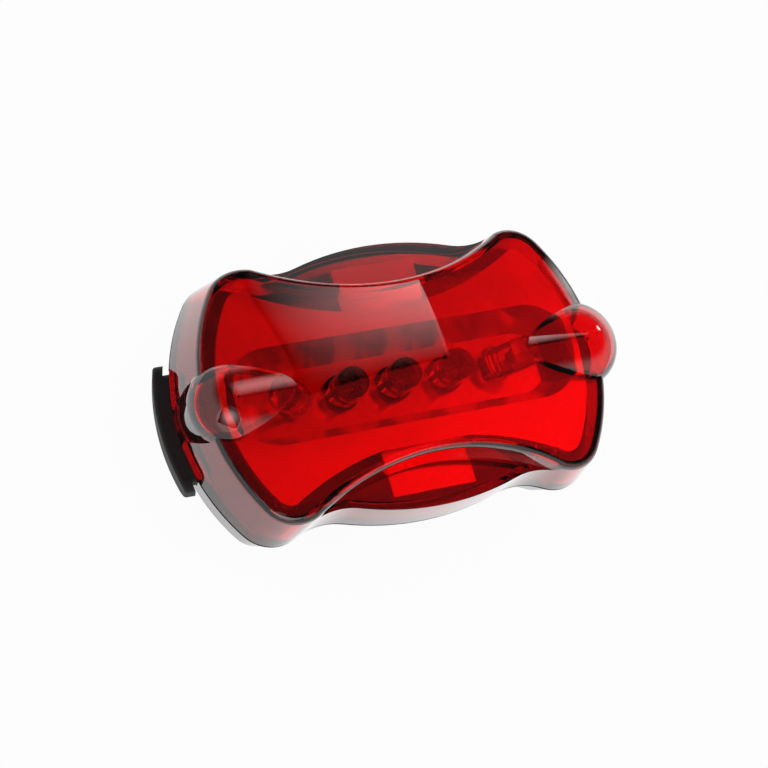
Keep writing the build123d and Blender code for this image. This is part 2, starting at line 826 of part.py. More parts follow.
# Tact switch: moulded body, bent steel cover and plunger
with BuildPart() as switch_body:
    with Locations((-switch_front, 0, board_under)):
        Box(switch_length, switch_width, switch_height, align=(Align.MIN, Align.CENTER, Align.MAX))
    with Locations((-switch_front, 0, plunger_level)):
        Box(2 * (plunger_inside + plunger_room), plunger_width + 2 * plunger_gap, plunger_height + 2 * plunger_gap,
            mode=Mode.SUBTRACT)
switch_body.part.label = "switch_body"
export_step(switch_body.part, "parts/switch_body.step")

with BuildPart() as switch_cover:
    with Locations((-switch_front - switch_sheet, 0, board_under)):
        Box(switch_length, switch_width + 2 * switch_sheet, switch_height, align=(Align.MIN, Align.CENTER, Align.MAX))
    with Locations((-switch_front, 0, board_under)):
        Box(switch_length, switch_width, 2 * switch_height, align=(Align.MIN, Align.CENTER, Align.CENTER),
            mode=Mode.SUBTRACT)
    with Locations((-switch_front, 0, plunger_level)):
        Box(2 * plunger_reach, plunger_width + 2 * plunger_gap, plunger_height + 2 * plunger_gap,
            mode=Mode.SUBTRACT)
switch_cover.part.label = "switch_cover"
export_step(switch_cover.part, "parts/switch_cover.step")

with BuildPart() as switch_plunger:
    with Locations((-switch_front - plunger_reach, 0, plunger_level)):
        Box(plunger_reach + plunger_inside, plunger_width, plunger_height,
            align=(Align.MIN, Align.CENTER, Align.CENTER))
switch_plunger.part.label = "switch_plunger"
export_step(switch_plunger.part, "parts/switch_plunger.step")


# Belt clip: base under the shell, round bend, flat leaf with a hook at its tip
bend_centre = clip_bend - back_level / 2
clip_length = clip_bend + clip_tip
with BuildPart() as belt_clip:
    with BuildSketch(Plane.XZ):
        with Locations((bend_centre, back_level / 2)):
            Circle(back_level / 2)
        with Locations((bend_centre, 0)):
            Rectangle(bend_centre + clip_tip, clip_leaf, align=(Align.MAX, Align.MIN))
        with Locations((bend_centre, back_level)):
            Rectangle(bend_centre - clip_base_end, clip_base, align=(Align.MAX, Align.MAX))
        with Locations((bend_centre, clip_leaf + clip_gap / 2)):
            Circle(clip_gap / 2, mode=Mode.SUBTRACT)
        with Locations((bend_centre, clip_leaf)):
            Rectangle(back_level, clip_gap, align=(Align.MAX, Align.MIN), mode=Mode.SUBTRACT)
        with BuildLine():
            Polyline((-clip_tip, clip_leaf), (clip_hook_ramp - clip_tip, clip_leaf + clip_hook),
                     (clip_hook_length - clip_tip, clip_leaf + clip_hook),
                     (clip_hook_length + clip_hook_root - clip_tip, clip_leaf), close=True)
        make_face()
    extrude(amount=clip_width / 2, both=True)
    with BuildSketch():
        with Locations((clip_bend - clip_length / 2, 0)):
            RectangleRounded(clip_length, clip_width, clip_corner)
    extrude(amount=back_level, mode=Mode.INTERSECT)
    with Locations((clip_screw_place, 0, 0)):
        Cylinder(clip_access_radius, clip_leaf, align=(Align.CENTER, Align.CENTER, Align.MIN), mode=Mode.SUBTRACT)
        Cylinder(clip_screw_radius + screw_gap, back_level, align=(Align.CENTER, Align.CENTER, Align.MIN),
                 mode=Mode.SUBTRACT)
    with Locations((clip_screw_place, 0, base_level)):
        Cone(clip_screw_head_radius + screw_gap, clip_screw_radius + screw_gap,
             clip_screw_head_radius - clip_screw_radius, align=(Align.CENTER, Align.CENTER, Align.MIN),
             mode=Mode.SUBTRACT)
belt_clip.part.label = "belt_clip"
export_step(belt_clip.part, "parts/belt_clip.step")

with BuildPart() as clip_screw:
    with Locations((clip_screw_place, 0, base_level)):
        Cylinder(clip_screw_radius, clip_screw_length, align=(Align.CENTER, Align.CENTER, Align.MIN))
        Cone(clip_screw_head_radius, clip_screw_radius, clip_screw_head_radius - clip_screw_radius,
             align=(Align.CENTER, Align.CENTER, Align.MIN))
        Box(driver_width, driver_length, driver_depth, align=(Align.CENTER, Align.CENTER, Align.MIN),
            mode=Mode.SUBTRACT)
        Box(driver_length, driver_width, driver_depth, align=(Align.CENTER, Align.CENTER, Align.MIN),
            mode=Mode.SUBTRACT)
clip_screw.part.label = "clip_screw"
export_step(clip_screw.part, "parts/clip_screw.step")
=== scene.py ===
# %% [markdown]
# # A bicycle rear light, dressed for its portrait
# The light is a clear red lens over a bright tray with five LEDs, on a black back shell with a rubber
# button and a belt clip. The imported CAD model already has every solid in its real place, so this notebook
# gives each piece the finish of the real one, and adds the fine things that CAD leaves out, such as the LED
# dies, the bond wires and the solder joints.

# %% Load the fixed frame
import bpy
import math
from mathutils import Matrix, Vector


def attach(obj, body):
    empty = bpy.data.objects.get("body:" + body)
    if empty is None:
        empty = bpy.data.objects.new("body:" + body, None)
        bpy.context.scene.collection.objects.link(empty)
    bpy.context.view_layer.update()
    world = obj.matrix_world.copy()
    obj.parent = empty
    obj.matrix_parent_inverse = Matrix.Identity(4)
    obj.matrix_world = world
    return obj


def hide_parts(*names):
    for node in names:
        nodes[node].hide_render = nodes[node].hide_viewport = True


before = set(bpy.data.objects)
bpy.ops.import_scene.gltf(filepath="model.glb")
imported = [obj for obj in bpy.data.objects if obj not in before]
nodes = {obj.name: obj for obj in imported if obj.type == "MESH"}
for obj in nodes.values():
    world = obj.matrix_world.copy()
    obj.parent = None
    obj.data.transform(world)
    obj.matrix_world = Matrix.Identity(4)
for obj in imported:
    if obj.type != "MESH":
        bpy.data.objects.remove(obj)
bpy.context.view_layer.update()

# %% [markdown]
# ## Places on the light
# The levels and steps that the added pieces need are read from the CAD nodes. The lens ends at the parting,
# the LEDs stand on their seats in the tray, and the row's pitch is the step from one LED to the next. The
# two end LEDs are tipped outwards, and their place and tilt are given here.

# %% Places
MM = 0.001
X, Y, Z = range(3)


def lowest(name, axis):
    """A CAD node's lowest coordinate along one axis."""
    return min(corner.co[axis] for corner in nodes[name].data.vertices)


PARTING = lowest("lens", Z)
LED_SEAT = lowest("led_3", Z)
LED_PITCH = lowest("led_4", X) - lowest("led_3", X)
BOARD_UNDER = lowest("circuit_board", Z)
END_LED_PLACE = 17.0 * MM
END_LED_RISE = 1.5 * MM
END_LED_TILT = math.radians(35)
END_LEG_DROP = 1.3 * MM
LEG_STEP = 1.27 * MM
print("parting %.4f, LED seat %.4f, LED pitch %.4f, board %.4f" % (PARTING, LED_SEAT, LED_PITCH, BOARD_UNDER))

# %% [markdown]
# ## Helpers for picking up and shaping pieces
# Operators act on everything that is selected, and the loaded nodes come in selected. So each step first
# lets go of everything and then takes hold of the one thing that it works on.

# %% Selection and copies


def let_go():
    if bpy.context.object and bpy.context.object.mode != "OBJECT":
        bpy.ops.object.mode_set(mode="OBJECT")
    bpy.ops.object.select_all(action="DESELECT")


def hold(*things):
    let_go()
    for thing in things:
        thing.select_set(True)
    bpy.context.view_layer.objects.active = things[0]


def settle(piece, name, body):
    """Put the place into the mesh, smooth the shading and let the piece ride on its body."""
    hold(piece)
    bpy.ops.object.transform_apply(location=True, rotation=True, scale=True)
    bpy.ops.object.shade_smooth_by_angle(angle=math.radians(35))
    piece.name = name
    piece.data.name = name
    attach(piece, body)
    print(name, "faces", len(piece.data.polygons))


def merged_copy(name):
    """Copy of a CAD node, with the corners of its loose triangles merged and all of it selected."""
    twin = nodes[name].copy()
    twin.data = nodes[name].data.copy()
    bpy.context.scene.collection.objects.link(twin)
    hold(twin)
    bpy.ops.object.mode_set(mode="EDIT")
    bpy.ops.mesh.select_all(action="SELECT")
    bpy.ops.mesh.remove_doubles(threshold=0.001 * MM)
    bpy.ops.object.mode_set(mode="OBJECT")
    return twin


def copies(piece, places):
    """One copy of a shaped piece at each place, all joined into one piece."""
    made = []
    for place in places:
        twin = piece.copy()
        twin.data = piece.data.copy()
        bpy.context.collection.objects.link(twin)
        twin.data.transform(place)
        made.append(twin)
    bpy.data.objects.remove(piece)
    hold(*made)
    bpy.ops.object.join()
    return bpy.context.object


# %% [markdown]
# ## Helpers for node trees
# Materials and the world hold their nodes in the same way, so the same short functions serve both. Each one
# adds a node, feeds it, and hands back the socket that the next node reads.

# %% Node helpers


def feed(owner, socket, given):
    """Link a socket to the one that feeds it, or set its plain value."""
    if isinstance(given, bpy.types.NodeSocket):
        owner.node_tree.links.new(given, socket)
    else:
        socket.default_value = given


def place_reader(owner, scale=(1.0, 1.0, 1.0)):
    """Object coordinates, stretched per axis."""
    tree = owner.node_tree
    place = tree.nodes.new("ShaderNodeTexCoord")
    stretch = tree.nodes.new("ShaderNodeMapping")
    stretch.inputs["Scale"].default_value = scale
    tree.links.new(place.outputs["Object"], stretch.inputs["Vector"])
    return stretch.outputs["Vector"]


def axes(owner, vector):
    split = owner.node_tree.nodes.new("ShaderNodeSeparateXYZ")
    feed(owner, split.inputs["Vector"], vector)
    return split.outputs


def reckon(owner, operation, *values):
    """One sum on plain values, such as ABSOLUTE, MAXIMUM or MULTIPLY."""
    sum_node = owner.node_tree.nodes.new("ShaderNodeMath")
    sum_node.operation = operation
    for place, value in enumerate(values):
        feed(owner, sum_node.inputs[place], value)
    return sum_node.outputs["Value"]


def spread(owner, value, low, high, start=0.3, end=0.7, curve="LINEAR"):
    """Map the stretch of a value from start to end onto the range from low to high."""
    band = owner.node_tree.nodes.new("ShaderNodeMapRange")
    band.interpolation_type = curve
    band.inputs["From Min"].default_value = start
    band.inputs["From Max"].default_value = end
    band.inputs["To Min"].default_value = low
    band.inputs["To Max"].default_value = high
    feed(owner, band.inputs["Value"], value)
    return band.outputs["Result"]


def mixed(owner, factor, first, second, kind="RGBA"):
    """The first colour or value where the factor is 0, and the second where it is 1."""
    mix = owner.node_tree.nodes.new("ShaderNodeMix")
    mix.data_type = kind
    feed(owner, mix.inputs["Factor"], factor)
    feed(owner, mix.inputs["A"], first)
    feed(owner, mix.inputs["B"], second)
    return mix.outputs["Result"]


def either(owner, factor, first, second):
    """The first shader where the factor is 0, and the second where it is 1."""
    mix = owner.node_tree.nodes.new("ShaderNodeMixShader")
    feed(owner, mix.inputs["Fac"], factor)
    feed(owner, mix.inputs[1], first)
    feed(owner, mix.inputs[2], second)
    return mix.outputs["Shader"]


def show(owner, shader):
    feed(owner, owner.node_tree.nodes["Material Output"].inputs["Surface"], shader)


# %% [markdown]
# ## Helpers for finishes
# Real surfaces are never one flat value. Each finish starts from a Principled shader with its plain numbers
# set on the shader itself. A noise pattern on Object coordinates then varies the roughness a little and
# gives a fine bump, at the scale that moulded plastic, stamped steel or rubber has.

# %% Finish helpers


def new_finish(name, colour, roughness, metallic=0.0):
    finish = bpy.data.materials.new(name)
    finish.use_nodes = True
    skin = finish.node_tree.nodes["Principled BSDF"]
    skin.inputs["Base Color"].default_value = (*colour, 1.0)
    skin.inputs["Roughness"].default_value = roughness
    skin.inputs["Metallic"].default_value = metallic
    return finish, skin


def noise(finish, where, grain, detail=3.0):
    pattern = finish.node_tree.nodes.new("ShaderNodeTexNoise")
    pattern.inputs["Scale"].default_value = 1.0 / grain
    pattern.inputs["Detail"].default_value = detail
    feed(finish, pattern.inputs["Vector"], where)
    return pattern.outputs["Fac"]


def two_tone(finish, value, first, second):
    ramp = finish.node_tree.nodes.new("ShaderNodeValToRGB")
    ramp.color_ramp.elements[0].color = (*first, 1.0)
    ramp.color_ramp.elements[1].color = (*second, 1.0)
    ramp.color_ramp.elements[0].position = 0.35
    ramp.color_ramp.elements[1].position = 0.65
    feed(finish, ramp.inputs["Fac"], value)
    return ramp.outputs["Color"]


def relief(finish, skin, value, depth):
    bump = finish.node_tree.nodes.new("ShaderNodeBump")
    bump.inputs["Distance"].default_value = depth
    bump.inputs["Strength"].default_value = 1.0
    feed(finish, bump.inputs["Height"], value)
    feed(finish, skin.inputs["Normal"], bump.outputs["Normal"])


def worn(name, colour, rough, grain, depth, metallic=0.0, specular=0.5, stretch=(1, 1, 1), shade=0.85):
    """A finish whose roughness, tone and fine relief follow one noise."""
    finish, skin = new_finish(name, colour, rough[0], metallic)
    skin.inputs["Specular IOR Level"].default_value = specular
    fine = noise(finish, place_reader(finish, stretch), grain)
    feed(finish, skin.inputs["Roughness"], spread(finish, fine, *rough))
    darker = tuple(c * shade for c in colour)
    feed(finish, skin.inputs["Base Color"], two_tone(finish, fine, darker, colour))
    relief(finish, skin, fine, depth)
    return finish


def paint(finish, *names):
    for name in names:
        piece = nodes[name] if name in nodes else bpy.data.objects[name]
        piece.data.materials.clear()
        piece.data.materials.append(finish)


# %% [markdown]
# ## Clear red lens
# The lens is injection-moulded clear acrylic with red dye all through it. It is a glass-like shader: full
# transmission, the index of acrylic, and a red tint that light takes on at each face it goes through. A
# clear hard coat on top strengthens what its faces mirror, which turns the near walls pale above a white
# table. Shadow rays don't refract, so for them the lens lets tinted light straight through, as it does in
# real light. A very long and very low noise stands for the slight waviness of moulded faces.

# %% Lens finish
lens_red, skin = new_finish("lens_red", (0.97, 0.003, 0.008), 0.015)
skin.inputs["Transmission Weight"].default_value = 1.0
skin.inputs["IOR"].default_value = 1.49
skin.inputs["Coat Weight"].default_value = 1.0
skin.inputs["Coat IOR"].default_value = 1.85
skin.inputs["Coat Roughness"].default_value = 0.01
relief(lens_red, skin, noise(lens_red, place_reader(lens_red), 9.0 * MM, detail=1.0), 0.002 * MM)
ray_kind = lens_red.node_tree.nodes.new("ShaderNodeLightPath")
through = lens_red.node_tree.nodes.new("ShaderNodeBsdfTransparent")
through.inputs["Color"].default_value = (0.97, 0.04, 0.05, 1.0)
show(lens_red, either(lens_red, ray_kind.outputs["Is Shadow Ray"], skin.outputs["BSDF"],
                      through.outputs["BSDF"]))
paint(lens_red, "lens")

# %% [markdown]
# ## Bright tray
# The moulded tray has small round edges along its wings and trough, and these catch the light as thin
# lines. The CAD tray is sharp, and its side tabs touch the lens from below, where two faces in one plane
# would flicker. So a copy takes its place: its loose triangles are merged and joined into flat faces, the
# tops of the tabs are lowered by a hair, and a bevel rounds every sharp edge. Weighted normals then keep
# the large faces flat.

# %% Tray with round edges
TAB_TOP = PARTING + 6.1 * MM
TAB_ROOT = 11.0 * MM
HAIR = 0.08 * MM
tray = merged_copy("reflector_tray")
bpy.ops.object.mode_set(mode="EDIT")
bpy.ops.mesh.dissolve_limited(angle_limit=math.radians(0.5))
bpy.ops.object.mode_set(mode="OBJECT")
lowered = 0
for corner in tray.data.vertices:
    if abs(corner.co.z - TAB_TOP) < 0.02 * MM and abs(corner.co.y) > TAB_ROOT:
        corner.co.z -= HAIR
        lowered += 1
rounding = tray.modifiers.new("rounding", "BEVEL")
rounding.width = 0.16 * MM
rounding.segments = 2
rounding.limit_method = "ANGLE"
rounding.angle_limit = math.radians(40)
rounding.use_clamp_overlap = True
bpy.ops.object.modifier_apply(modifier="rounding")
settle(tray, "bright_tray_shell", "light_unit")
even = tray.modifiers.new("even", "WEIGHTED_NORMAL")
even.keep_sharp = True
even.weight = 80
bpy.ops.object.modifier_apply(modifier="even")
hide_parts("reflector_tray")
print("tab corners lowered:", lowered)

# %% [markdown]
# ## Tray finish
# The tray is white plastic with a thin bright silver coat. It mirrors its surroundings softly, and the
# white under the coat scatters part of the light, so the wings glow evenly through the red lens. Metallic
# is therefore set between the two, with a smooth low noise for the moulded skin. The upright walls of the
# trough, the mouths and the rim get a dark brown-grey colour and a little less metallic, a painted shade
# for the shade that falls on them. The finish tells them by the upward part of the surface's own direction,
# which is nought on an upright wall.

# %% Tray finish
bright_tray = worn("bright_tray", (0.93, 0.93, 0.94), (0.1, 0.16), 7.0 * MM, 0.004 * MM, metallic=0.7,
                   shade=0.97)
skin = bright_tray.node_tree.nodes["Principled BSDF"]
facing = bright_tray.node_tree.nodes.new("ShaderNodeTexCoord")
upward = reckon(bright_tray, "ABSOLUTE", axes(bright_tray, facing.outputs["Normal"])["Z"])
# Share of the silver tone: nought on upright walls, which take the painted shade colour below.
lit_share = spread(bright_tray, upward, 0.0, 1.0, start=0.2, end=0.55)
silver = skin.inputs["Base Color"].links[0].from_socket
feed(bright_tray, skin.inputs["Base Color"], mixed(bright_tray, lit_share, (0.34, 0.31, 0.31, 1.0), silver))
feed(bright_tray, skin.inputs["Metallic"], spread(bright_tray, lit_share, 0.6, 0.7, start=0.0, end=1.0))
paint(bright_tray, "bright_tray_shell")

# %% [markdown]
# ## Seal with its lip
# The soft seal is squeezed when the lens goes on, so its outer side bulges out until it is almost flush
# with the lens and shows as the thin black line in the parting. A copy takes its place, and the corners of
# its outer wall are moved out along the wall's own level normal.

# %% Seal
LIP_BULGE = 0.13 * MM
seal = merged_copy("rim_seal")
outward = {}
for face in seal.data.polygons:
    level = Vector((face.normal.x, face.normal.y, 0))
    if level.length > 0.9 and level.dot(face.center) > 0:
        for corner in face.vertices:
            outward[corner] = outward.get(corner, Vector()) + level
for corner, way in outward.items():
    seal.data.vertices[corner].co += way.normalized() * LIP_BULGE
settle(seal, "seal_lip", "back_half")
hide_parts("rim_seal")
print("seal corners moved:", len(outward))

# %% [markdown]
# ## LEDs
# The LED bodies are cast from water-clear epoxy, and the leads inside them are tinned steel with a bright
# cup. The epoxy is given a grey tint, a painted shade for the dark trough that shows through the bodies.

# %% LED finishes
# Painted shade: a grey tint in place of water-clear epoxy.
led_clear, skin = new_finish("led_clear", (0.6, 0.57, 0.57), 0.02)
skin.inputs["Transmission Weight"].default_value = 1.0
skin.inputs["IOR"].default_value = 1.5
relief(led_clear, skin, noise(led_clear, place_reader(led_clear), 1.5 * MM), 0.004 * MM)
lead_tin = worn("lead_tin", (0.8, 0.8, 0.82), (0.25, 0.4), 0.4 * MM, 0.008 * MM, metallic=1.0,
                stretch=(1, 1, 0.2))
for number in range(1, 6):
    paint(led_clear, "led_%d" % number)
    paint(lead_tin, "led_%d_leads" % number)

# %% [markdown]
# ## Back shell, seal, clip and button
# The shell is high-gloss black plastic. The clip is the same plastic with a finer spark-eroded grain, so
# that cloth grips it. The seal is dull black rubber that mirrors almost nothing. The button is soft black
# rubber with a matt skin that is a little greyer where thumbs rub it.

# %% Dark finishes
shell_black = worn("shell_black", (0.012, 0.011, 0.012), (0.05, 0.09), 4.0 * MM, 0.003 * MM, specular=0.6)
clip_black = worn("clip_black", (0.016, 0.016, 0.017), (0.28, 0.42), 0.25 * MM, 0.02 * MM)
seal_rubber = worn("seal_rubber", (0.004, 0.004, 0.004), (0.8, 0.9), 0.4 * MM, 0.006 * MM, specular=0.04)
button_rubber = worn("button_rubber", (0.014, 0.012, 0.013), (0.55, 0.7), 0.22 * MM, 0.02 * MM, specular=0.3,
                     shade=0.75)
paint(shell_black, "back_shell")
paint(clip_black, "belt_clip")
paint(seal_rubber, "seal_lip")
paint(button_rubber, "switch_button")

# %% [markdown]
# ## Cells
# A plain cell has a printed film sleeve over a steel can, and bare steel shows at both ends. The sleeve is
# the stretch of the can between two places along X, so the finish reads X and turns to steel beyond them.

# %% Cell finish
SLEEVE_END = 20.2 * MM
SLEEVE_EDGE = 0.15 * MM
cell_jacket, skin = new_finish("cell_jacket", (0.3, 0.31, 0.34), 0.3)
away = reckon(cell_jacket, "ABSOLUTE", axes(cell_jacket, place_reader(cell_jacket))["X"])
bare = spread(cell_jacket, away, 0.0, 1.0, start=SLEEVE_END, end=SLEEVE_END + SLEEVE_EDGE)
brush = noise(cell_jacket, place_reader(cell_jacket, (1, 0.1, 0.1)), 0.3 * MM)
tones = mixed(cell_jacket, bare, (0.085, 0.1, 0.12, 1.0), (0.75, 0.74, 0.72, 1.0))
feed(cell_jacket, skin.inputs["Base Color"], tones)
feed(cell_jacket, skin.inputs["Metallic"], spread(cell_jacket, bare, 0.35, 1.0, start=0.0, end=1.0))
feed(cell_jacket, skin.inputs["Roughness"], spread(cell_jacket, brush, 0.24, 0.4))
relief(cell_jacket, skin, brush, 0.006 * MM)
paint(cell_jacket, "battery_left", "battery_right")

# %% [markdown]
# ## Board and what it carries
# The board's solder mask is green over copper, and the copper shows through as slightly lighter tracks with
# small steps at their edges. The tracks come from a brick pattern whose mortar lines are the gaps between
# them.

# %% Board, chip and metal finishes
board_green, skin = new_finish("board_green", (0.02, 0.12, 0.05), 0.35)
tracks = board_green.node_tree.nodes.new("ShaderNodeTexBrick")
tracks.inputs["Scale"].default_value = 1.0 / (12.0 * MM)
tracks.inputs["Mortar Size"].default_value = 0.03
tracks.inputs["Color1"].default_value = (0.035, 0.19, 0.075, 1.0)
tracks.inputs["Color2"].default_value = (0.03, 0.165, 0.065, 1.0)
tracks.inputs["Mortar"].default_value = (0.012, 0.08, 0.032, 1.0)
feed(board_green, tracks.inputs["Vector"], place_reader(board_green))
feed(board_green, skin.inputs["Base Color"], tracks.outputs["Color"])
weave = noise(board_green, place_reader(board_green), 0.5 * MM)
feed(board_green, skin.inputs["Roughness"], spread(board_green, weave, 0.28, 0.45))
relief(board_green, skin, tracks.outputs["Fac"], 0.03 * MM)
chip_black = worn("chip_black", (0.03, 0.03, 0.033), (0.5, 0.7), 0.12 * MM, 0.006 * MM)
resistor_black = worn("resistor_black", (0.035, 0.036, 0.045), (0.3, 0.5), 0.2 * MM, 0.006 * MM)
switch_black = worn("switch_black", (0.03, 0.03, 0.03), (0.4, 0.55), 0.3 * MM, 0.006 * MM)
plunger_black = worn("plunger_black", (0.045, 0.045, 0.045), (0.4, 0.5), 0.3 * MM, 0.006 * MM)
switch_steel = worn("switch_steel", (0.72, 0.72, 0.74), (0.22, 0.34), 1.2 * MM, 0.003 * MM, metallic=1.0,
                    shade=0.93)
contact_nickel = worn("contact_nickel", (0.76, 0.74, 0.7), (0.24, 0.34), 1.6 * MM, 0.003 * MM, metallic=1.0,
                      shade=0.93)
screw_steel = worn("screw_steel", (0.68, 0.68, 0.7), (0.25, 0.4), 0.3 * MM, 0.006 * MM, metallic=1.0)
paint(board_green, "circuit_board")
paint(chip_black, "control_chip")
paint(resistor_black, "resistors")
paint(switch_black, "switch_body")
paint(plunger_black, "switch_plunger")
paint(switch_steel, "switch_cover")
paint(contact_nickel, "plus_contact", "minus_contact", "bridge_contact")
paint(screw_steel, "board_screws", "clip_screw")

# %% [markdown]
# ## LED dies and bond wires
# In the cup of each LED sits a die, a square chip of a third of a millimetre, and a hair-thin gold wire
# runs in an arch from its top to the plain post. They are what makes a clear LED look like an LED up close.
# One set is modelled upright at the origin, and a copy goes into each LED, turned with it.

# %% Dies and wires
DIE_SIDE = 0.32 * MM
DIE_LEVEL = 3.6 * MM
WIRE_LEVEL = 3.75 * MM
WIRE_REACH = 0.62 * MM
led_seats = []
for step in (-1, 0, 1):
    led_seats.append(Matrix.Translation((step * LED_PITCH, 0, LED_SEAT)))
for side in (-1, 1):
    tipped = Matrix.Rotation(side * END_LED_TILT, 4, "Y") @ Matrix.Rotation(math.radians(90), 4, "Z")
    led_seats.append(Matrix.Translation((side * END_LED_PLACE, 0, LED_SEAT + END_LED_RISE)) @ tipped)

let_go()
bpy.ops.mesh.primitive_cube_add(size=DIE_SIDE, location=(0, 0, DIE_LEVEL))
bpy.ops.object.transform_apply(location=True)
bpy.ops.object.mode_set(mode="EDIT")
bpy.ops.mesh.select_all(action="SELECT")
bpy.ops.transform.resize(value=(1, 1, 0.6))
bpy.ops.mesh.bevel(offset=0.02 * MM, segments=2, affect="EDGES")
bpy.ops.object.mode_set(mode="OBJECT")
settle(copies(bpy.context.object, led_seats), "led_dies", "light_unit")

let_go()
bpy.ops.mesh.primitive_torus_add(major_radius=WIRE_REACH, minor_radius=0.035 * MM, major_segments=48,
                                 minor_segments=8, location=(WIRE_REACH + 0.01 * MM, 0, WIRE_LEVEL),
                                 rotation=(math.radians(90), 0, 0))
bpy.ops.object.transform_apply(location=True, rotation=True)
bpy.ops.object.mode_set(mode="EDIT")
bpy.ops.mesh.select_all(action="SELECT")
bpy.ops.mesh.bisect(plane_co=(0, 0, WIRE_LEVEL), plane_no=(0, 0, 1), clear_inner=True, use_fill=True)
bpy.ops.object.mode_set(mode="OBJECT")
settle(copies(bpy.context.object, led_seats), "bond_wires", "light_unit")

die_amber = worn("die_amber", (0.75, 0.45, 0.08), (0.2, 0.35), 0.05 * MM, 0.002 * MM)
wire_gold = worn("wire_gold", (0.95, 0.7, 0.3), (0.15, 0.3), 0.1 * MM, 0.001 * MM, metallic=1.0)
paint(die_amber, "led_dies")
paint(wire_gold, "bond_wires")

# %% [markdown]
# ## Solder joints
# Each lead comes out under the board through a bright cone of solder. A cone is added with its wide end on
# the board, a level cut adds a ring below that end, and the ring is drawn in by scaling, which gives the
# hollow flank that wetted solder takes.

# %% Solder under the board
CONE_HEIGHT = 0.8 * MM
RING_LEVEL = BOARD_UNDER - 0.3 * MM
joint_places = []
for step in (-1, 0, 1):
    for side in (-1, 1):
        joint_places.append(Matrix.Translation((step * LED_PITCH + side * LEG_STEP, 0, 0)))
end_leg = END_LED_PLACE - END_LEG_DROP * math.sin(END_LED_TILT)
for end in (-1, 1):
    for side in (-1, 1):
        joint_places.append(Matrix.Translation((end * end_leg, side * LEG_STEP, 0)))

let_go()
bpy.ops.mesh.primitive_cone_add(vertices=24, radius1=0.36 * MM, radius2=0.85 * MM, depth=CONE_HEIGHT,
                                location=(0, 0, BOARD_UNDER - CONE_HEIGHT / 2))
bpy.ops.object.transform_apply(location=True)
cone = bpy.context.object
bpy.ops.object.mode_set(mode="EDIT")
bpy.ops.mesh.select_all(action="SELECT")
bpy.ops.mesh.bisect(plane_co=(0, 0, RING_LEVEL), plane_no=(0, 0, 1))
bpy.ops.object.mode_set(mode="OBJECT")
for corner in cone.data.vertices:
    corner.select = abs(corner.co.z - RING_LEVEL) < 0.05 * MM
bpy.ops.object.mode_set(mode="EDIT")
bpy.ops.transform.resize(value=(0.72, 0.72, 1), center_override=(0, 0, RING_LEVEL))
bpy.ops.object.mode_set(mode="OBJECT")
settle(copies(cone, joint_places), "solder_joints", "light_unit")
solder_grey = worn("solder_grey", (0.78, 0.78, 0.79), (0.18, 0.3), 0.3 * MM, 0.01 * MM, metallic=1.0)
paint(solder_grey, "solder_joints")

# %% [markdown]
# ## Floor
# The light lies on a white table. Rays that come straight from the camera, by reflection or through clear
# parts see the floor as a white that glows by itself, with a little of the plain diffuse white mixed in, so
# that a faint soft shadow stays. All other rays see plain diffuse white, which throws light back up as
# paper does.

# %% Floor
let_go()
bpy.ops.mesh.primitive_plane_add(size=3.0, location=(0, 0, -0.2 * MM))
floor = bpy.context.object
floor.name = "floor"
floor_white, skin = new_finish("floor_white", (0.9, 0.9, 0.9), 0.8)
ray_kind = floor_white.node_tree.nodes.new("ShaderNodeLightPath")
seen = reckon(floor_white, "MAXIMUM", ray_kind.outputs["Is Camera Ray"], ray_kind.outputs["Is Glossy Ray"])
shown = reckon(floor_white, "MAXIMUM", seen, ray_kind.outputs["Is Transmission Ray"])
glow = floor_white.node_tree.nodes.new("ShaderNodeEmission")
glow.inputs["Strength"].default_value = 1.0
bright = either(floor_white, 0.95, skin.outputs["BSDF"], glow.outputs["Emission"])
show(floor_white, either(floor_white, shown, skin.outputs["BSDF"], bright))
floor.data.materials.append(floor_white)

# %% [markdown]
# ## Studio light
# Clear plastic shows every lamp as a picture of itself, so a plain square lamp would print a hard bright
# square on the lens. The light therefore comes from glowing panels that fade out, as a sheet of diffuser
# does that is lit from one side. The far one keeps a crisp edge, which draws the pale haze with one
# straight edge on the far half of the lens. A very wide weak lamp above the near side fills in the rest.
# Every panel and lamp is placed by its direction from the lens: azimuth from +X towards +Y, and elevation
# above the table, both in degrees.

# %% Fading panels


def direction(azimuth, elevation):
    turn, rise = math.radians(azimuth), math.radians(elevation)
    return Vector((math.cos(rise) * math.cos(turn), math.cos(rise) * math.sin(turn), math.sin(rise)))


def aim(stand, azimuth, elevation, distance, roll=0.0):
    """Place a lamp or panel in a direction from the lens, turn its face to the lens and roll it."""
    way = direction(azimuth, elevation)
    facing = way.to_track_quat("Z", "Y").to_matrix() @ Matrix.Rotation(math.radians(roll), 3, "Z")
    stand.location = way * distance + Vector((0, 0, PARTING))
    stand.rotation_euler = facing.to_euler()
    return stand


def panel(name, azimuth, elevation, distance, width, height, brightness, roll=0, crisp=False):
    """Glowing sheet that fades out towards its edges, or towards all but one edge if that is to be crisp."""
    let_go()
    bpy.ops.mesh.primitive_plane_add(size=1.0)
    sheet = aim(bpy.context.object, azimuth, elevation, distance, roll)
    sheet.name = name
    sheet.scale = (width, height, 1)
    sheet.visible_camera = False
    glow = bpy.data.materials.new(name)
    glow.use_nodes = True
    lit = glow.node_tree.nodes.new("ShaderNodeEmission")
    place = axes(glow, place_reader(glow))
    if crisp:
        across = spread(glow, place["X"], brightness, 0.0, start=-0.48, end=0.5)
    else:
        across = spread(glow, reckon(glow, "ABSOLUTE", place["X"]), brightness, 0.0, start=0.05, end=0.5)
    along = spread(glow, reckon(glow, "ABSOLUTE", place["Y"]), 1.0, 0.0, start=0.1, end=0.5)
    feed(glow, lit.inputs["Strength"], reckon(glow, "MULTIPLY", across, along))
    show(glow, lit.outputs["Emission"])
    sheet.data.materials.append(glow)


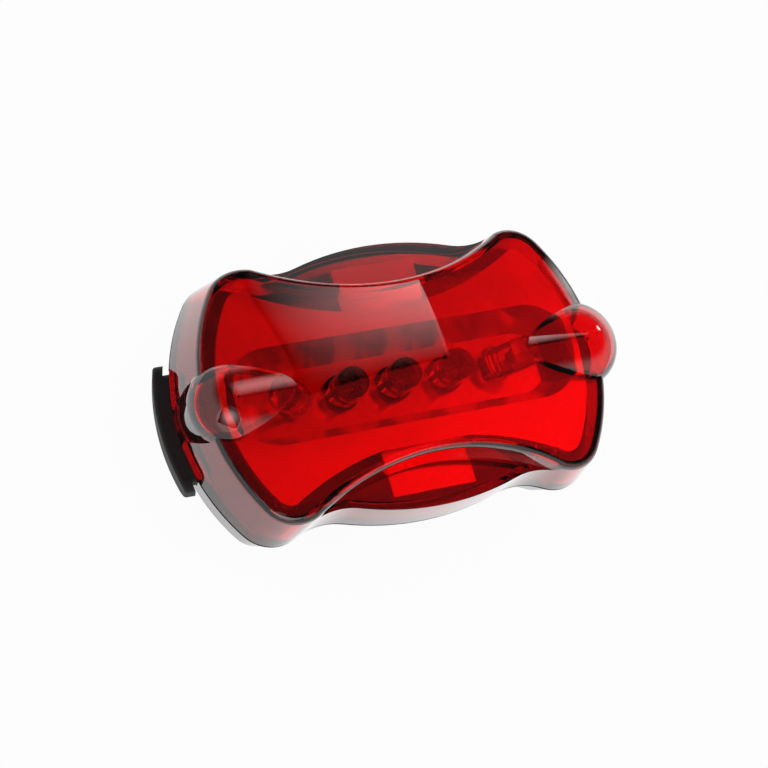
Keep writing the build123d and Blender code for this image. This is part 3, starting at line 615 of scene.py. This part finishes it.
panel("far_panel", 62, 57, distance=1.0, width=0.51, height=0.6, brightness=1.5, roll=36, crisp=True)
panel("low_panel", 22, 22, distance=1.0, width=0.16, height=0.16, brightness=7.0)
panel("near_panel", -118, 60, distance=1.3, width=1.0, height=0.9, brightness=1.6)

# %% [markdown]
# ## Wide lamp
# The power of this lamp is worked out from how bright it is to show, as a share of white: that share times
# pi times its area.

# %% Wide lamp
FILL_BRIGHTNESS = 0.3
lamp = bpy.data.lights.new("wide_fill", "AREA")
lamp.shape = "DISK"
lamp.size = 2.2
lamp.energy = FILL_BRIGHTNESS * math.pi * math.pi * (lamp.size / 2) ** 2
wide_fill = aim(bpy.data.objects.new("wide_fill", lamp), -118, 55, distance=2.2)
bpy.context.scene.collection.objects.link(wide_fill)

# %% [markdown]
# ## World
# The room round the table is plain white light. Polished faces see it at under half its strength, and on
# the far side, which they mirror towards the camera, a dark ceiling flag hangs, as a photographer hangs one
# to keep the red of the lens clean. Light that comes in through clear parts is brightest from the +X side,
# so the tray's wings shine at that end and fade towards the button.

# %% World
FLAG_CORE = math.radians(42)
FLAG_RIM = math.radians(62)
world = bpy.data.worlds.new("studio")
bpy.context.scene.world = world
world.use_nodes = True
sky = world.node_tree.nodes["Background"]
sky.inputs["Color"].default_value = (1, 1, 1, 1)
ways = world.node_tree.nodes.new("ShaderNodeTexCoord").outputs["Generated"]
ray_kind = world.node_tree.nodes.new("ShaderNodeLightPath")
toward_flag = world.node_tree.nodes.new("ShaderNodeVectorMath")
toward_flag.operation = "DOT_PRODUCT"
toward_flag.inputs[1].default_value = direction(38, 62)
feed(world, toward_flag.inputs[0], ways)
mirrored = spread(world, toward_flag.outputs["Value"], 0.45, 0.02, start=math.cos(FLAG_RIM),
                  end=math.cos(FLAG_CORE), curve="SMOOTHSTEP")
overhead = spread(world, axes(world, ways)["X"], 0.65, 1.8, start=0.3, end=0.5, curve="SMOOTHSTEP")
light = mixed(world, ray_kind.outputs["Is Glossy Ray"], 0.8, mirrored, kind="FLOAT")
light = mixed(world, ray_kind.outputs["Is Transmission Ray"], light, overhead, kind="FLOAT")
light = mixed(world, ray_kind.outputs["Is Camera Ray"], light, 1.0, kind="FLOAT")
feed(world, sky.inputs["Strength"], light)

# %% [markdown]
# ## Camera
# The camera stands where the photographer's did. Its place, turn and focal length were worked out from the
# outline of the lens and the LED row, so the render lines up with the photograph.

# %% Camera
EYE_PLACE = (-0.1556, -0.0796, 0.343)
eye = bpy.data.cameras.new("camera")
eye.sensor_width = 36.0
eye.lens = 112.18
eye.clip_start = 0.01
camera = bpy.data.objects.new("camera", eye)
bpy.context.scene.collection.objects.link(camera)
right = Vector((0.8948, -0.2666, 0.3581))
up = Vector((0.1578, 0.9392, 0.3050))
back = right.cross(up).normalized()
up = back.cross(right).normalized()
turn = Matrix((right.normalized(), up, back)).transposed().to_4x4()
camera.matrix_world = Matrix.Translation(EYE_PLACE) @ turn
bpy.context.scene.camera = camera
bpy.context.scene.view_settings.view_transform = "Standard"
